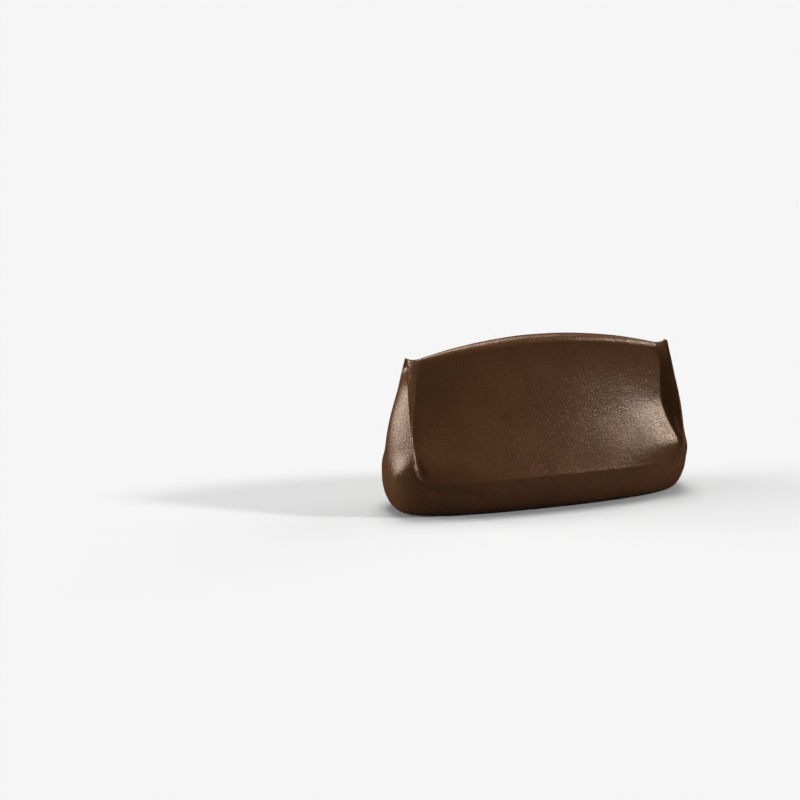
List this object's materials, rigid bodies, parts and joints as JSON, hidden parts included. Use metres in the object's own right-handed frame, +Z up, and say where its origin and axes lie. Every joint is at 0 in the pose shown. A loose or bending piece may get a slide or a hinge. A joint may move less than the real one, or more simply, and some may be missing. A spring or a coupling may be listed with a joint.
{
  "type": "gianduiotto",
  "caption": "Unwrapped hazelnut chocolate, an upturned boat with a thin arched ridge and finned corners.",
  "frame": {"origin": "middle of the flat underside, on the floor", "axes": "+X along the ridge, -Y towards the broad face that the picture shows, +Z up"},
  "size_m": [0.0454, 0.015, 0.0237],
  "materials": {
    "chocolate": "satin"
  },
  "bodies": {
    "root": {"gianduiotto": "chocolate"}
  },
  "joints": []
}
